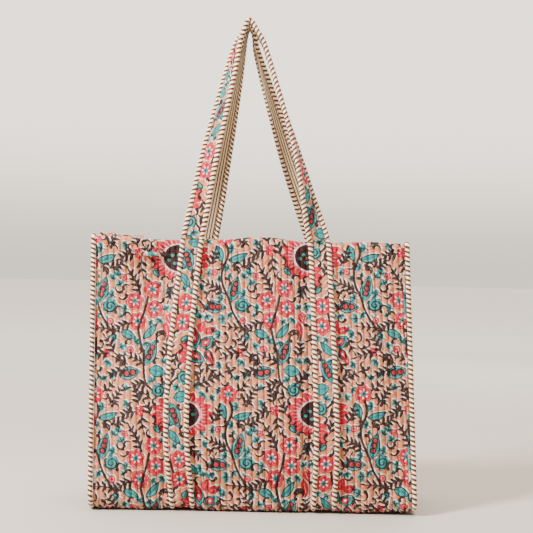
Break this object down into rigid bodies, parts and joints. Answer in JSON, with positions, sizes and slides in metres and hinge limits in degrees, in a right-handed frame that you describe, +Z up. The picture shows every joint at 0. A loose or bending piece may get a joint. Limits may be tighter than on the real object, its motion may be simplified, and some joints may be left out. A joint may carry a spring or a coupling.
{
  "type": "knitting bag",
  "caption": "Quilted cotton knitting bag with folded gussets, striped piping and two long strap handles that fold down.",
  "frame": {"origin": "on the floor under the middle of the bag, which stands on its base with its handles up", "axes": "+X to the right of the printed front, -Y out of the front, +Z up to the handles"},
  "size_m": [0.4746, 0.162, 0.7124],
  "materials": {
    "print_cotton": "block-printed cotton, matte, quilted",
    "lining_cotton": "plain cotton, matte",
    "strap_lining": "cotton striped lengthwise, matte",
    "wadding": "cotton wadding",
    "piping_stripe": "bias-cut striped cotton, matte",
    "cotton_cord": "cotton cord"
  },
  "bodies": {
    "bag": {"body_print": "print_cotton", "body_wadding": "wadding", "body_lining": "lining_cotton", "right_gusset_print": "print_cotton", "right_gusset_wadding": "wadding", "right_gusset_lining": "lining_cotton", "left_gusset_print": "print_cotton", "left_gusset_wadding": "wadding", "left_gusset_lining": "lining_cotton", "mouth_facing": "lining_cotton", "right_seam_piping": "piping_stripe", "right_seam_cord": "cotton_cord", "left_seam_piping": "piping_stripe", "left_seam_cord": "cotton_cord", "right_band_print": "print_cotton", "right_band_wadding": "wadding", "right_band_lining": "strap_lining", "right_band_inner_piping": "piping_stripe", "right_band_inner_cord": "cotton_cord", "right_band_outer_piping": "piping_stripe", "right_band_outer_cord": "cotton_cord", "left_band_print": "print_cotton", "left_band_wadding": "wadding", "left_band_lining": "strap_lining", "left_band_inner_piping": "piping_stripe", "left_band_inner_cord": "cotton_cord", "left_band_outer_piping": "piping_stripe", "left_band_outer_cord": "cotton_cord"},
    "front_handle": {"front_handle_print": "print_cotton", "front_handle_wadding": "wadding", "front_handle_lining": "strap_lining", "front_handle_inner_piping": "piping_stripe", "front_handle_inner_cord": "cotton_cord", "front_handle_outer_piping": "piping_stripe", "front_handle_outer_cord": "cotton_cord"},
    "back_handle": {"back_handle_print": "print_cotton", "back_handle_wadding": "wadding", "back_handle_lining": "strap_lining", "back_handle_inner_piping": "piping_stripe", "back_handle_inner_cord": "cotton_cord", "back_handle_outer_piping": "piping_stripe", "back_handle_outer_cord": "cotton_cord"}
  },
  "joints": [
    {"name": "front_handle_fold", "type": "hinge", "parent": "bag", "child": "front_handle", "pos_m": [0, -0.04863, 0.3892], "axis": [1, 0, 0], "range_deg": [0, 165]},
    {"name": "back_handle_fold", "type": "hinge", "parent": "bag", "child": "back_handle", "pos_m": [0, 0.04863, 0.3892], "axis": [-1, 0, 0], "range_deg": [0, 165]}
  ]
}
